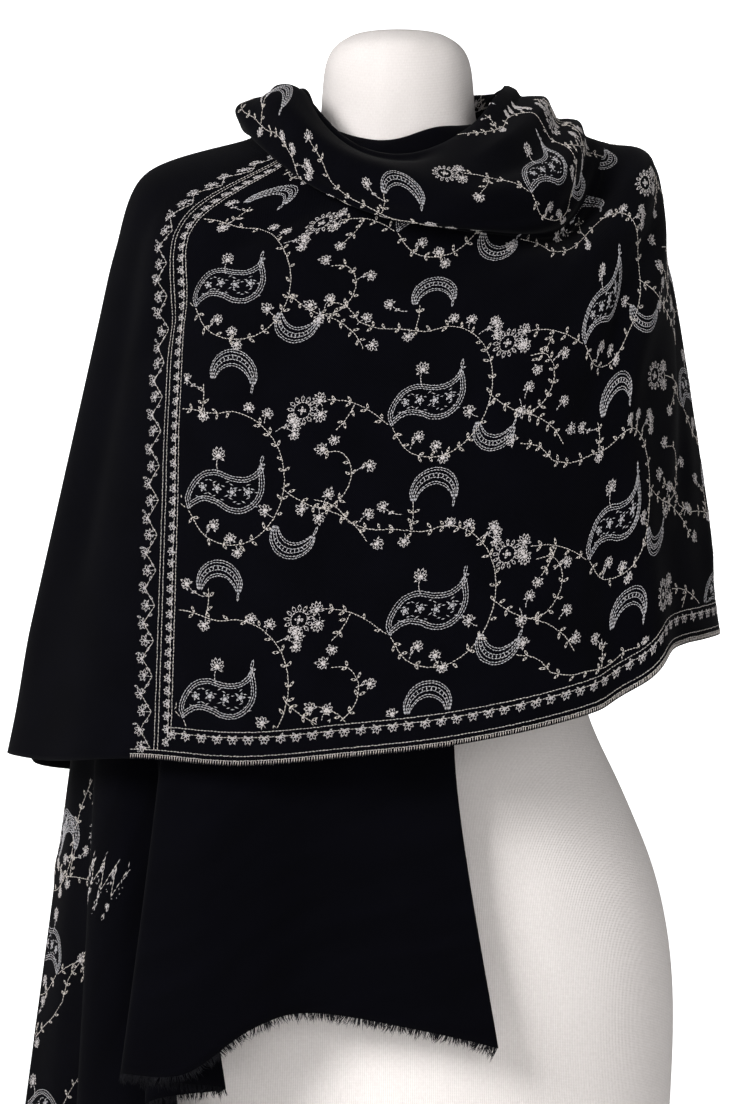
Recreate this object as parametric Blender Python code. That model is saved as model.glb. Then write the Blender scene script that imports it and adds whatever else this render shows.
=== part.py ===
"""A pashmina shawl wound one and a half turns round a limbless dress form.

Metres, +Z up, the form's front faces -Y. The origin is the centre of the form's flat base.
An angle round the form is 0 at the front, 90 at -X, 180 at the back and 270 at +X, and it runs on past
360 as the cloth passes over itself.
"""

import bpy
import numpy as np

# Cloth
WALL = 0.002
SEAM_LEVEL = 0.05
SEAM_ANGLE = 0.2
FRINGE_GAP = 0.0012
FRINGE_REACH = 0.006
FRINGE_WALL = 0.0012

CLOTH, CLOTH_ROUGHNESS = (0.008, 0.008, 0.014), 0.9
KNIT, KNIT_ROUGHNESS = (0.68, 0.65, 0.61), 0.85

# Where the stretches of the wound cloth begin and end, in degrees
COWL_START = -50
UNDER_END = 88
BACK_END = 262
ARM_END = 322
FRONT_END = 440
SHAWL_END = 488
COLUMN_STEP = 7
COWL_STEP = 7.8
COWL_ROWS = 11
SKIRT_ROWS = 7

# Dress form: a row for each ring, with its height, half width, and depth to the front and to the back
FORM_RINGS = (
    # height, half_width, front, back
    (0.000, 0.165, 0.105, 0.112),
    (0.120, 0.179, 0.113, 0.122),
    (0.240, 0.190, 0.121, 0.132),
    (0.330, 0.192, 0.124, 0.136),
    (0.400, 0.181, 0.121, 0.132),
    (0.460, 0.158, 0.107, 0.112),
    (0.532, 0.128, 0.090, 0.085),
    (0.620, 0.131, 0.097, 0.086),
    (0.735, 0.150, 0.124, 0.096),
    (0.800, 0.149, 0.104, 0.102),
    (0.850, 0.158, 0.086, 0.096),
    (0.876, 0.150, 0.074, 0.082),
    (0.898, 0.104, 0.058, 0.064),
    (0.912, 0.065, 0.050, 0.054),
    (0.930, 0.055, 0.048, 0.050),
    (0.950, 0.053, 0.048, 0.050),
    (0.968, 0.051, 0.046, 0.047),
    (0.980, 0.046, 0.043, 0.044),
    (0.988, 0.036, 0.034, 0.035),
    (0.992, 0.024, 0.023, 0.023),
)
FORM_TOP = 0.9935
FORM_SIDES = 48
FORM_LEVELS = 40

# Cloth: a row for each quarter turn, as (radius, height) at each level of the section, top to bottom.
# flare is how much further out the skirt hangs for each metre that it falls below the arm level.
LEVELS = ("tuck", "crest", "bulge", "edge", "valley", "shoulder", "arm")
QUARTERS = (
    # tuck, crest, bulge, edge, valley, shoulder, arm, flare
    ("front_under", (0.0575, 0.903), (0.060, 0.913), (0.066, 0.906), (0.074, 0.893), (0.080, 0.876),
     (0.116, 0.800), (0.138, 0.735), 0.045),
    ("left_under", (0.060, 0.930), (0.064, 0.935), (0.070, 0.929), (0.078, 0.921), (0.090, 0.911),
     (0.164, 0.881), (0.182, 0.835), 0.132),
    ("back", (0.063, 0.930), (0.073, 0.955), (0.098, 0.938), (0.105, 0.912), (0.094, 0.908),
     (0.118, 0.850), (0.130, 0.770), 0.080),
    ("right", (0.070, 0.940), (0.081, 0.953), (0.110, 0.937), (0.132, 0.922), (0.148, 0.917),
     (0.178, 0.905), (0.187, 0.840), 0.128),
    ("front", (0.076, 0.895), (0.083, 0.901), (0.118, 0.882), (0.131, 0.856), (0.113, 0.861),
     (0.138, 0.800), (0.158, 0.735), 0.110),
    ("left", (0.072, 0.936), (0.084, 0.955), (0.106, 0.942), (0.110, 0.924), (0.101, 0.918),
     (0.176, 0.893), (0.194, 0.840), 0.213),
    ("back_end", (0.072, 0.935), (0.088, 0.966), (0.114, 0.946), (0.119, 0.920), (0.108, 0.915),
     (0.134, 0.855), (0.148, 0.770), 0.110),
)
# How square each level is in plan: 2 is an ellipse
SQUARENESS = (2.0, 2.0, 2.0, 2.1, 2.1, 2.2, 2.4)
SKIRT_SQUARENESS = 2.5

# The cowl hangs lower and further out than its quarter rows at these angles
SAGS = (
    # angle, spread, drop, outward
    (342, 22, 0.014, 0.010), (310, 24, 0.044, 0.014),
)

# The neckline stands higher at these places
LIFTS = (
    # angle, spread, level, level_spread, rise
    (412, 20, 1.0, 0.9, 0.012), (-22, 22, 1.0, 0.9, 0.008),
)

# Hem height against the angle
HEM = (
    # angle, height
    (80, 0.060), (100, 0.085), (130, 0.165), (155, 0.270), (180, 0.380), (205, 0.480), (230, 0.552),
    (255, 0.573), (280, 0.573), (300, 0.567), (309, 0.560), (316, 0.541), (324, 0.524), (338, 0.510),
    (352, 0.500), (368, 0.493), (384, 0.487), (400, 0.491), (420, 0.487), (450, 0.490), (488, 0.470),
)

# Soft pleats of the skirt: each stands out, or in where it is negative, most at the hem
PLEATS = (
    # angle, spread, depth
    (112, 7, 0.010), (127, 6, -0.009), (143, 8, 0.012), (163, 7, -0.010), (182, 9, 0.011), (203, 8, -0.009),
    (222, 8, 0.009), (246, 8, -0.006), (285, 7, 0.004), (303, 6, -0.004), (313, 5, 0.006), (321, 4, -0.004),
    (420, 9, -0.005), (436, 7, 0.005), (462, 8, -0.006), (478, 7, 0.006),
)

# The under panel falls in a cascade of folds. A row for each fold line: the angle where it starts at
# the shoulder, its place at the height of the outer hem, and its place and height at the fringed end.
UNDER_WAIST = 0.620
UNDER_MIDDLE = 0.490
CASCADE = (
    # name, top_angle, middle_x, middle_y, low_x, low_y, low_z
    ("selvage", -14, 0.037, -0.138, 0.066, -0.148, 0.297),
    ("panel_right", -4, -0.002, -0.141, 0.018, -0.157, 0.309),
    ("panel_left", 10, -0.050, -0.142, -0.058, -0.162, 0.322),
    ("column_rise", 22, -0.088, -0.147, -0.098, -0.180, 0.313),
    ("column_front", 32, -0.125, -0.147, -0.142, -0.196, 0.285),
    ("column_edge", 42, -0.158, -0.132, -0.184, -0.182, 0.284),
    ("column_back", 47, -0.156, -0.120, -0.160, -0.157, 0.276),
    ("second_edge", 52, -0.151, -0.114, -0.116, -0.150, 0.270),
    ("second_back", 57, -0.162, -0.111, -0.170, -0.135, 0.258),
    ("third_edge", 62, -0.163, -0.100, -0.149, -0.112, 0.218),
    ("column_two", 70, -0.188, -0.097, -0.192, -0.108, 0.150),
    ("two_edge", 78, -0.206, -0.080, -0.228, -0.090, 0.095),
    ("tuck", 82, -0.208, -0.060, -0.212, -0.066, 0.072),
    ("strip", 85, -0.224, -0.032, -0.250, -0.036, 0.066),
)
CASCADE_STRETCHES = (
    # node, and where it starts and ends, counted in fold lines
    ("under_panel", 0, 4.5),
    ("fold_column", 4.5, 9.5),
    ("back_column", 9.5, 12.5),
    ("side_strip", 12.5, 14),
)
CASCADE_COLUMNS = 4
CASCADE_ROWS = 13
FOLD_SEAM = 0.02


def spline(values, position):
    """The smooth curve through rows of values, read at positions counted in rows."""
    values = np.asarray(values, float)
    last = len(values) - 1
    position = np.clip(position, 0, last)
    start = np.minimum(position.astype(int), last - 1)
    t = (position - start)[..., None]
    before, a = values[np.maximum(start - 1, 0)], values[start]
    b, after = values[start + 1], values[np.minimum(start + 2, last)]
    return 0.5 * (2 * a + (b - before) * t + (2 * before - 5 * a + 4 * b - after) * t**2
                  + (3 * a - before - 3 * b + after) * t**3)


def along(table, angle, column=1):
    """A column of a table read smoothly against its first column."""
    table = np.array(table, float)
    rows = np.interp(angle, table[:, 0], np.arange(len(table)))
    return spline(table[:, column:column + 1], rows)[..., 0]


def bell(angle, centre, spread):
    return np.exp(-((angle - centre) / spread) ** 2)


def unit(vectors):
    return vectors / np.linalg.norm(vectors, axis=-1, keepdims=True)


def wound_section(angle, level):
    """Half extents and height of the wound cloth at an angle and at a level above the skirt."""
    stations = np.array([[*zip(*row[1:-1])] for row in QUARTERS]).transpose(0, 2, 1)
    quarter = np.clip((angle // 90).astype(int), 0, len(QUARTERS) - 2)
    sideways = quarter + (quarter % 2 == 0)
    lengthways = quarter + (quarter % 2 == 1)
    read = np.stack([spline(row, level) for row in stations])
    pick = np.arange(angle.size).reshape(angle.shape)
    flat = read.reshape(len(QUARTERS), -1, 2)
    side = flat[sideways.ravel(), pick.ravel()].reshape(*angle.shape, 2)
    front = flat[lengthways.ravel(), pick.ravel()].reshape(*angle.shape, 2)
    share = np.sin(np.radians(angle)) ** 2
    height = side[..., 1] * share + front[..., 1] * (1 - share)
    flares = np.array([row[-1] for row in QUARTERS])
    return side[..., 0], front[..., 0], height, flares[sideways], flares[lengthways]


def on_ring(angle, side, front, squareness):
    """A point of a ring with these half extents, squared up in plan."""
    sine, cosine = np.sin(np.radians(angle)), np.cos(np.radians(angle))
    size = (np.abs(sine) ** squareness + np.abs(cosine) ** squareness) ** (-1 / squareness)
    return -side * sine * size, -front * cosine * size


def wound(angle, level, fall):
    """Points of the wound cloth. level runs down LEVELS, and fall from 0 at the arm to 1 at the hem."""
    side, front, height, side_flare, front_flare = wound_section(angle, level)
    squareness = spline(np.array(SQUARENESS)[:, None], level)[..., 0]
    squareness = squareness + (SKIRT_SQUARENESS - squareness) * fall
    sag, stand = bell(level, 3.8, 1.3), bell(level, 2.8, 0.8)
    for centre, spread, drop, outward in SAGS:
        near = bell(angle, centre, spread)
        height = height - drop * near * sag
        side, front = side + outward * near * stand, front + outward * near * stand
    for centre, spread, middle, level_spread, rise in LIFTS:
        height = height + rise * bell(angle, centre, spread) * bell(level, middle, level_spread)
    drop = (height - along(HEM, angle)) * fall
    side, front = side + side_flare * drop, front + front_flare * drop
    for centre, spread, depth in PLEATS:
        push = depth * bell(angle, centre, spread) * fall
        side, front = side + push, front + push
    x, y = on_ring(angle, side, front, squareness)
    return np.stack([x, y, height - drop], axis=-1)


def wound_wall(name, angles, levels, falls):
    """A wall of the wound cloth whose normals match those of the piece beyond each seam."""
    angle, level = np.meshgrid(angles, levels, indexing="ij")
    fall = np.broadcast_to(falls, angle.shape)
    turn, down = 0.5, 0.04
    up_level, up_fall = np.where(fall > 0, level, level - down), np.maximum(fall - down, 0)
    low_level, low_fall = np.minimum(level + down, 6), np.where(level < 6, 0, fall + down)
    around = wound(angle + turn, level, fall) - wound(angle - turn, level, fall)
    downward = wound(angle, low_level, low_fall) - wound(angle, up_level, up_fall)
    grid = wound(angle, level, fall)
    wall(name, grid, unit(np.cross(around, downward)), WALL)
    return grid


def skirt_at(angle, height):
    """Points of the skirt at a height, or at the hem where that is higher."""
    arm, none = np.full(angle.shape, float(LEVELS.index("arm"))), np.zeros(angle.shape)
    top = wound_section(angle, arm)[2]
    fall = (top - np.maximum(along(HEM, angle), height)) / (top - along(HEM, angle))
    return wound(angle, arm, np.clip(fall, none, 1))


def cascade_grid(start, end, columns):
    """A stretch of the cascade between two fold lines, in columns from the shoulder to the fringed end."""
    table = np.array([row[1:] for row in CASCADE], float)
    join = np.array([UNDER_END - 1.5 * SEAM_ANGLE])
    top = np.append(table[:, 0], join)
    guides = [wound(top, np.full(len(top), level), np.zeros(len(top))) for level in (4.08, 5.0, 6.0)]
    waist = skirt_at(top, UNDER_WAIST)
    middle = np.column_stack([table[:, 1], table[:, 2], np.full(len(table), UNDER_MIDDLE)])
    middle = np.concatenate([middle, skirt_at(join, UNDER_MIDDLE)])
    low = np.concatenate([table[:, 3:6], skirt_at(join, 0)])
    lines = np.stack([*guides, waist, middle, low], axis=1)
    across = spline(lines.reshape(len(top), -1), np.linspace(start, end, columns))
    across = across.reshape(columns, lines.shape[1], 3)
    down = np.linspace(0, lines.shape[1] - 1, CASCADE_ROWS)
    return np.stack([spline(line, down) for line in across])


def normals(grid):
    """Unit normals of a grid of points."""
    along_u = np.gradient(grid, axis=0)
    along_v = np.gradient(grid, axis=1)
    normal = np.cross(along_u, along_v)
    return normal / np.linalg.norm(normal, axis=-1, keepdims=True)


def material(name, colour, roughness):
    made = bpy.data.materials.new(name)
    made.use_nodes = True
    shader = made.node_tree.nodes["Principled BSDF"]
    shader.inputs["Base Color"].default_value = (*colour, 1)
    shader.inputs["Roughness"].default_value = roughness
    shader.inputs["Metallic"].default_value = 0
    return made


def add_mesh(name, points, faces, colour, roughness):
    mesh = bpy.data.meshes.new(name)
    mesh.from_pydata([tuple(point) for point in points], [], faces)
    mesh.update()
    mesh.shade_smooth()
    mesh.set_sharp_from_angle(angle=np.radians(50))
    mesh.materials.append(material(name, colour, roughness))
    made = bpy.data.objects.new(name, mesh)
    bpy.context.scene.collection.objects.link(made)
    return made


def wall(name, grid, normal, thickness):
    """A closed wall of this thickness with its middle on a grid of points."""
    shift = normal * thickness / 2
    columns, rows = grid.shape[:2]
    points = np.concatenate([(grid + shift).reshape(-1, 3), (grid - shift).reshape(-1, 3)])
    index = np.arange(columns * rows).reshape(columns, rows)
    other = columns * rows
    faces = []
    for u in range(columns - 1):
        for v in range(rows - 1):
            a, b, c, d = index[u, v], index[u + 1, v], index[u + 1, v + 1], index[u, v + 1]
            faces += [(a, b, c), (a, c, d), (other + c, other + b, other + a), (other + d, other + c, other + a)]
    rim = [*index[:, 0], *index[-1, 1:], *index[-2::-1, -1], *index[0, -2:0:-1]]
    for a, b in zip(rim, rim[1:] + rim[:1]):
        faces += [(a, other + b, b), (a, other + a, other + b)]
    faces = [tuple(int(corner) for corner in face) for face in faces]
    return add_mesh(name, points, faces, CLOTH, CLOTH_ROUGHNESS)


def dress_form():
    """The limbless trunk, turned through its rings, with a domed neck and a flat base."""
    rings = np.array(FORM_RINGS)
    levels = spline(rings, np.linspace(0, len(rings) - 1, FORM_LEVELS))
    turn = np.linspace(0, 2 * np.pi, FORM_SIDES, endpoint=False)
    points = []
    for height, half_width, front, back in levels:
        depth = np.where(np.sin(turn) < 0, front, back)
        points += [*np.column_stack([half_width * np.cos(turn), depth * np.sin(turn), np.full(FORM_SIDES, height)])]
    base, top = len(points), len(points) + 1
    points += [(0, 0, 0), (0, 0, FORM_TOP)]
    faces = []
    for side in range(FORM_SIDES):
        beside = (side + 1) % FORM_SIDES
        faces.append((base, beside, side))
        for level in range(FORM_LEVELS - 1):
            low, high = level * FORM_SIDES, (level + 1) * FORM_SIDES
            faces += [(low + side, low + beside, high + beside), (low + side, high + beside, high + side)]
        faces.append((high + side, high + beside, top))
    add_mesh("dress_form", points, faces, KNIT, KNIT_ROUGHNESS)


def cowl():
    """The neck roll: the cloth's upper edge turned over and wound once round the neck."""
    columns = int((SHAWL_END - COWL_START) / COWL_STEP) + 1
    levels = np.linspace(0, LEVELS.index("valley") - SEAM_LEVEL / 2, COWL_ROWS)
    wound_wall("neck_cowl", np.linspace(COWL_START, SHAWL_END, columns), levels, 0)


def wound_stretches():
    """The skirt of the wound cloth, one node for each stretch, a seam gap apart."""
    stretches = (
        ("back_wrap", UNDER_END, BACK_END),
        ("arm_wrap", BACK_END, ARM_END),
        ("front_wrap", ARM_END, FRONT_END),
        ("shoulder_end", FRONT_END, SHAWL_END),
    )
    top, arm = LEVELS.index("valley"), LEVELS.index("arm")
    levels = np.concatenate([np.linspace(top + SEAM_LEVEL / 2, arm, 5), np.full(SKIRT_ROWS, arm)])
    falls = np.concatenate([np.zeros(5), np.linspace(0, 1, SKIRT_ROWS + 1)[1:]])
    for name, start, end in stretches:
        columns = int((end - start) / COLUMN_STEP) + 2
        angles = np.linspace(start + SEAM_ANGLE / 2, end - SEAM_ANGLE / 2, columns)
        grid = wound_wall(name, angles, levels, falls)
    return grid


def cascade():
    """The under panel and its folds, one node for each stretch, a seam gap apart."""
    for name, start, end in CASCADE_STRETCHES:
        start, end = start + FOLD_SEAM * (start > 0), end - FOLD_SEAM * (end < len(CASCADE))
        grid = cascade_grid(start, end, int(round((end - start) * CASCADE_COLUMNS)) + 1)
        wall(name, grid, normals(grid), WALL)
    return cascade_grid(0, len(CASCADE), len(CASCADE) * CASCADE_COLUMNS)


def fringe(name, edge, inside):
    """A plain strip of the fringe's reach beyond an edge, square to it and away from the line inside it."""
    line = unit(np.gradient(edge, axis=0))
    outward = edge - inside
    outward = unit(outward - line * (outward * line).sum(axis=-1, keepdims=True))
    start = edge + outward * FRINGE_GAP
    strip = np.stack([start, start + outward * FRINGE_REACH / 2, start + outward * FRINGE_REACH], axis=1)
    wall(name, strip, normals(strip), FRINGE_WALL)


for old in list(bpy.data.objects):
    bpy.data.objects.remove(old)

dress_form()
cowl()
last = wound_stretches()
under = cascade()
fringe("under_fringe", under[:, -1], under[:, -2])
fringe("end_fringe", last[-1], last[-2])
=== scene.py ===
import bpy
import numpy as np
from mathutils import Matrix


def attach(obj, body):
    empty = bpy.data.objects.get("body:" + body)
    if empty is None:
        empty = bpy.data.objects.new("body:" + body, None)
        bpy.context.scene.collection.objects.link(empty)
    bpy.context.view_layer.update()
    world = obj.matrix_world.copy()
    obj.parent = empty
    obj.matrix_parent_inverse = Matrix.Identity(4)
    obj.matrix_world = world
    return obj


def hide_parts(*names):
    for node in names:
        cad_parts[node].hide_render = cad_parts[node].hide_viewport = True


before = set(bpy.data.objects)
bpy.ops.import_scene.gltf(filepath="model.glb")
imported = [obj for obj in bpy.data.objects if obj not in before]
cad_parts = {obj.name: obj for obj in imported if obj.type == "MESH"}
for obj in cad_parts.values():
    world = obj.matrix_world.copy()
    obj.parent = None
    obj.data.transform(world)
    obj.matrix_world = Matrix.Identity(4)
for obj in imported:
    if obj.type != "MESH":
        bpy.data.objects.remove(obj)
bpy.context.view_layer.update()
rng = np.random.default_rng(11)
print("frame loaded:", ", ".join(sorted(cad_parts)))


class Socket:
    # wraps a shader socket, so that maths on values reads as an expression
    def __init__(self, tree, link):
        self.tree = tree
        self.link = link

    def join(self, operation, *values):
        return self.tree.add("ShaderNodeMath", {"operation": operation}, dict(enumerate(values)))

    def __add__(self, other):
        return self.join("ADD", self, other)

    def __radd__(self, other):
        return self.join("ADD", other, self)

    def __sub__(self, other):
        return self.join("SUBTRACT", self, other)

    def __rsub__(self, other):
        return self.join("SUBTRACT", other, self)

    def __mul__(self, other):
        return self.join("MULTIPLY", self, other)

    def __rmul__(self, other):
        return self.join("MULTIPLY", other, self)

    def sine(self):
        return self.join("SINE", self)


class Finish:
    # a material's node tree; add() makes one node from its type, settings and sockets
    def __init__(self, name, constants):
        self.material = bpy.data.materials.new(name)
        self.material.use_nodes = True
        self.nodes = self.material.node_tree.nodes
        self.links = self.material.node_tree.links
        self.shader = self.nodes["Principled BSDF"]
        for socket, value in constants.items():
            self.shader.inputs[socket].default_value = value

    def add(self, kind, settings=None, sockets=None, output=0):
        node = self.nodes.new(kind)
        for setting, value in (settings or {}).items():
            if setting == "stops":
                ramp = node.color_ramp
                while len(ramp.elements) < len(value):
                    ramp.elements.new(0.5)
                for element, (position, colour) in zip(ramp.elements, value):
                    element.position = position
                    element.color = (*colour, 1)
            else:
                setattr(node, setting, value)
        for socket, value in (sockets or {}).items():
            if isinstance(value, Socket):
                self.links.new(value.link, node.inputs[socket])
            else:
                node.inputs[socket].default_value = value
        return Socket(self, node.outputs[output])

    def set(self, socket, value):
        self.links.new(value.link, self.shader.inputs[socket])


def splineRows(values, position):
    # the smooth curve through rows of values, read at positions counted in rows
    values = np.asarray(values, float)
    last = len(values) - 1
    position = np.clip(position, 0, last)
    start = np.minimum(position.astype(int), last - 1)
    t = (position - start)[..., None]
    before, a = values[np.maximum(start - 1, 0)], values[start]
    b, after = values[start + 1], values[np.minimum(start + 2, last)]
    return 0.5 * (2 * a + (b - before) * t + (2 * before - 5 * a + 4 * b - after) * t**2
                  + (3 * a - before - 3 * b + after) * t**3)


def smoothPath(points, count):
    # a smooth path through a few points, as count points along it
    points = np.asarray(points, float)
    return splineRows(points, np.linspace(0, len(points) - 1, count))


def bell(value, centre, spread):
    return np.exp(-((value - centre) / spread) ** 2)


def unit(vectors):
    return vectors / np.maximum(np.linalg.norm(vectors, axis=-1, keepdims=True), 1e-12)


def distanceAlong(points, axis=0):
    # how far each point is along its line from the line's first point
    steps = np.linalg.norm(np.diff(points, axis=axis), axis=-1)
    start = np.zeros_like(np.take(steps, [0], axis=axis))
    return np.concatenate([start, np.cumsum(steps, axis=axis)], axis=axis)


def readLine(wanted, known, values, *outside):
    # the columns of values that lie at known distances along a line, read at the wanted distances
    return np.stack([np.interp(wanted, known, column, *outside) for column in values.T], axis=-1)


def gridNormals(grid):
    return unit(np.cross(np.gradient(grid, axis=0), np.gradient(grid, axis=1)))


def softened(grid, passes, axis):
    # each pass moves a row a little towards the mean of its two neighbours; the two ends stay
    grid = np.moveaxis(grid.copy(), axis, 0)
    for _ in range(passes):
        grid[1:-1] += 0.5 * ((grid[:-2] + grid[2:]) / 2 - grid[1:-1])
    return np.moveaxis(grid, 0, axis)


def cornersOf(index):
    # the four corners of each cell of a grid
    return np.stack([index[:-1, :-1], index[1:, :-1], index[1:, 1:], index[:-1, 1:]], axis=-1)


def gridMesh(name, grid, maps=None, closed=False):
    # a mesh of quads over a grid of points; maps holds the grid's UV in metres
    columns, rows = grid.shape[:2]
    mesh = bpy.data.meshes.new(name)
    index = np.arange(columns * rows).reshape(columns, rows)
    if closed:
        index = np.concatenate([index, index[:1]])
    mesh.from_pydata(grid.reshape(-1, 3), [], cornersOf(index).reshape(-1, 4))
    if maps is not None:
        layer = mesh.uv_layers.new(name="cloth")
        if closed:
            wholeTurn = 2 * maps[-1, :, :1].mean() - maps[-2, :, :1].mean()
            maps = np.concatenate([maps, maps[:1] + [wholeTurn, 0]])
        flat = maps.reshape(-1, 2)
        corner = np.arange(len(maps) * rows).reshape(-1, rows)
        layer.data.foreach_set("uv", flat[cornersOf(corner).reshape(-1)].astype(np.float32).ravel())
    return pieceOf(name, mesh)


def pieceOf(name, mesh):
    mesh.shade_smooth()
    piece = bpy.data.objects.new(name, mesh)
    bpy.context.scene.collection.objects.link(piece)
    return piece


def thicken(piece, thickness):
    solid = piece.modifiers.new("thickness", "SOLIDIFY")
    solid.thickness = thickness
    solid.offset = 0
    solid.use_even_offset = False


# the dress form: height, half width, depth to the front and to the back of each ring
form = {
    "rings": [
        (0.000, 0.165, 0.105, 0.112), (0.120, 0.179, 0.113, 0.122), (0.240, 0.190, 0.121, 0.132),
        (0.330, 0.192, 0.124, 0.136), (0.400, 0.181, 0.121, 0.132), (0.460, 0.158, 0.107, 0.112),
        (0.532, 0.128, 0.090, 0.085), (0.620, 0.131, 0.097, 0.086), (0.735, 0.150, 0.124, 0.096),
        (0.800, 0.149, 0.104, 0.102), (0.850, 0.158, 0.086, 0.096), (0.876, 0.150, 0.074, 0.082),
        (0.898, 0.104, 0.058, 0.064), (0.912, 0.065, 0.050, 0.054), (0.930, 0.055, 0.048, 0.050),
        (0.950, 0.053, 0.048, 0.050), (0.968, 0.051, 0.046, 0.047), (0.980, 0.046, 0.043, 0.044),
        (0.988, 0.036, 0.034, 0.035), (0.992, 0.024, 0.023, 0.023), (0.9935, 0.0005, 0.0005, 0.0005),
    ],
    "sides": 128,
    "levels": 180,
    "ribPitch": 0.0013,
}

# the wound cloth, a row for each quarter turn with (radius, height) at each level of its section:
# tuck, crest, bulge, edge, valley, shoulder, arm; the last value is how fast the skirt flares
wrap = {
    "quarters": [
        ("front under", (0.0575, 0.903), (0.060, 0.913), (0.066, 0.906), (0.074, 0.893), (0.080, 0.876),
         (0.116, 0.800), (0.138, 0.735), 0.045),
        ("left under", (0.060, 0.930), (0.064, 0.935), (0.070, 0.929), (0.078, 0.921), (0.090, 0.911),
         (0.164, 0.881), (0.182, 0.835), 0.132),
        ("back", (0.063, 0.930), (0.073, 0.955), (0.098, 0.938), (0.105, 0.912), (0.094, 0.908),
         (0.118, 0.850), (0.130, 0.770), 0.080),
        ("right", (0.070, 0.940), (0.081, 0.953), (0.110, 0.937), (0.132, 0.922), (0.148, 0.917),
         (0.178, 0.905), (0.187, 0.840), 0.128),
        ("front", (0.076, 0.895), (0.083, 0.901), (0.118, 0.882), (0.131, 0.856), (0.113, 0.861),
         (0.138, 0.800), (0.158, 0.735), 0.110),
        ("left", (0.072, 0.936), (0.084, 0.955), (0.106, 0.942), (0.110, 0.924), (0.101, 0.918),
         (0.176, 0.893), (0.194, 0.840), 0.213),
        ("back end", (0.072, 0.935), (0.088, 0.966), (0.114, 0.946), (0.119, 0.920), (0.108, 0.915),
         (0.134, 0.855), (0.148, 0.770), 0.110),
    ],
    "squareness": [2.0, 2.0, 2.0, 2.1, 2.1, 2.2, 2.4],
    "skirtSquareness": 2.5,
    "sags": [(342, 22, 0.014, 0.010), (310, 24, 0.044, 0.014)],  # angle, spread, drop, outward
    "lifts": [(412, 20, 0.012), (-22, 22, 0.008)],  # of the crest: angle, spread, rise
    "hem": [
        (80, 0.060), (100, 0.085), (130, 0.165), (155, 0.270), (180, 0.380), (205, 0.480), (230, 0.552),
        (255, 0.573), (280, 0.573), (300, 0.567), (309, 0.560), (316, 0.541), (324, 0.524), (338, 0.510),
        (352, 0.500), (368, 0.493), (384, 0.487), (400, 0.491), (420, 0.487), (450, 0.490), (488, 0.470),
    ],
    "pleats": [  # angle, spread, depth at the hem
        (112, 7, 0.010), (127, 6, -0.009), (143, 8, 0.012), (163, 7, -0.010), (182, 9, 0.011),
        (203, 8, -0.009), (222, 8, 0.009), (246, 8, -0.006), (285, 7, 0.004), (303, 6, -0.004),
        (313, 5, 0.006), (321, 4, -0.004), (420, 9, -0.005), (436, 7, 0.005), (462, 8, -0.006),
        (478, 7, 0.006),
    ],
    "start": -50, "end": 488, "valleyLevel": 4, "armLevel": 6, "hemLevel": 7,
    "lines": 1501, "linePoints": 420, "skirtPoints": 120, "sectionPoints": 260,
    "evenUp": 14, "evenRound": 10,  # passes of softening
    "thickness": 0.001,
}


# the under panel falls in a cascade: for each fold line, the angle where it starts at the shoulder,
# its place at the height of the outer hem, and its place and height at the fringed end
under = {
    "waist": 0.620, "middle": 0.490, "join": 88.0,
    "folds": [
        ("selvage", -14, 0.037, -0.138, 0.066, -0.148, 0.297),
        ("panel right", -4, -0.002, -0.141, 0.018, -0.157, 0.309),
        ("panel left", 10, -0.050, -0.142, -0.058, -0.162, 0.322),
        ("column rise", 22, -0.088, -0.147, -0.098, -0.180, 0.313),
        ("column front", 32, -0.125, -0.147, -0.142, -0.196, 0.285),
        ("column edge", 42, -0.158, -0.132, -0.184, -0.182, 0.284),
        ("column back", 47, -0.156, -0.120, -0.160, -0.157, 0.276),
        ("second edge", 52, -0.151, -0.114, -0.116, -0.150, 0.270),
        ("second back", 57, -0.162, -0.111, -0.170, -0.135, 0.258),
        ("third edge", 62, -0.163, -0.100, -0.149, -0.112, 0.218),
        ("column two", 70, -0.188, -0.097, -0.192, -0.108, 0.150),
        ("two edge", 78, -0.206, -0.080, -0.228, -0.090, 0.095),
        ("tuck", 82, -0.208, -0.060, -0.212, -0.066, 0.072),
        ("strip", 85, -0.224, -0.032, -0.250, -0.036, 0.066),
    ],
    "topLevels": (4.08, 5.0, 6.0),
    "fineColumns": 421, "fineRows": 181, "columns": 250, "rows": 96,
    "evenRound": 6, "evenUp": 8,
}


def readTable(table, angle):
    # a table's second column, read smoothly against its first
    table = np.array(table, float)
    return splineRows(table[:, 1:2], np.interp(angle, table[:, 0], np.arange(len(table))))[..., 0]


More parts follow.
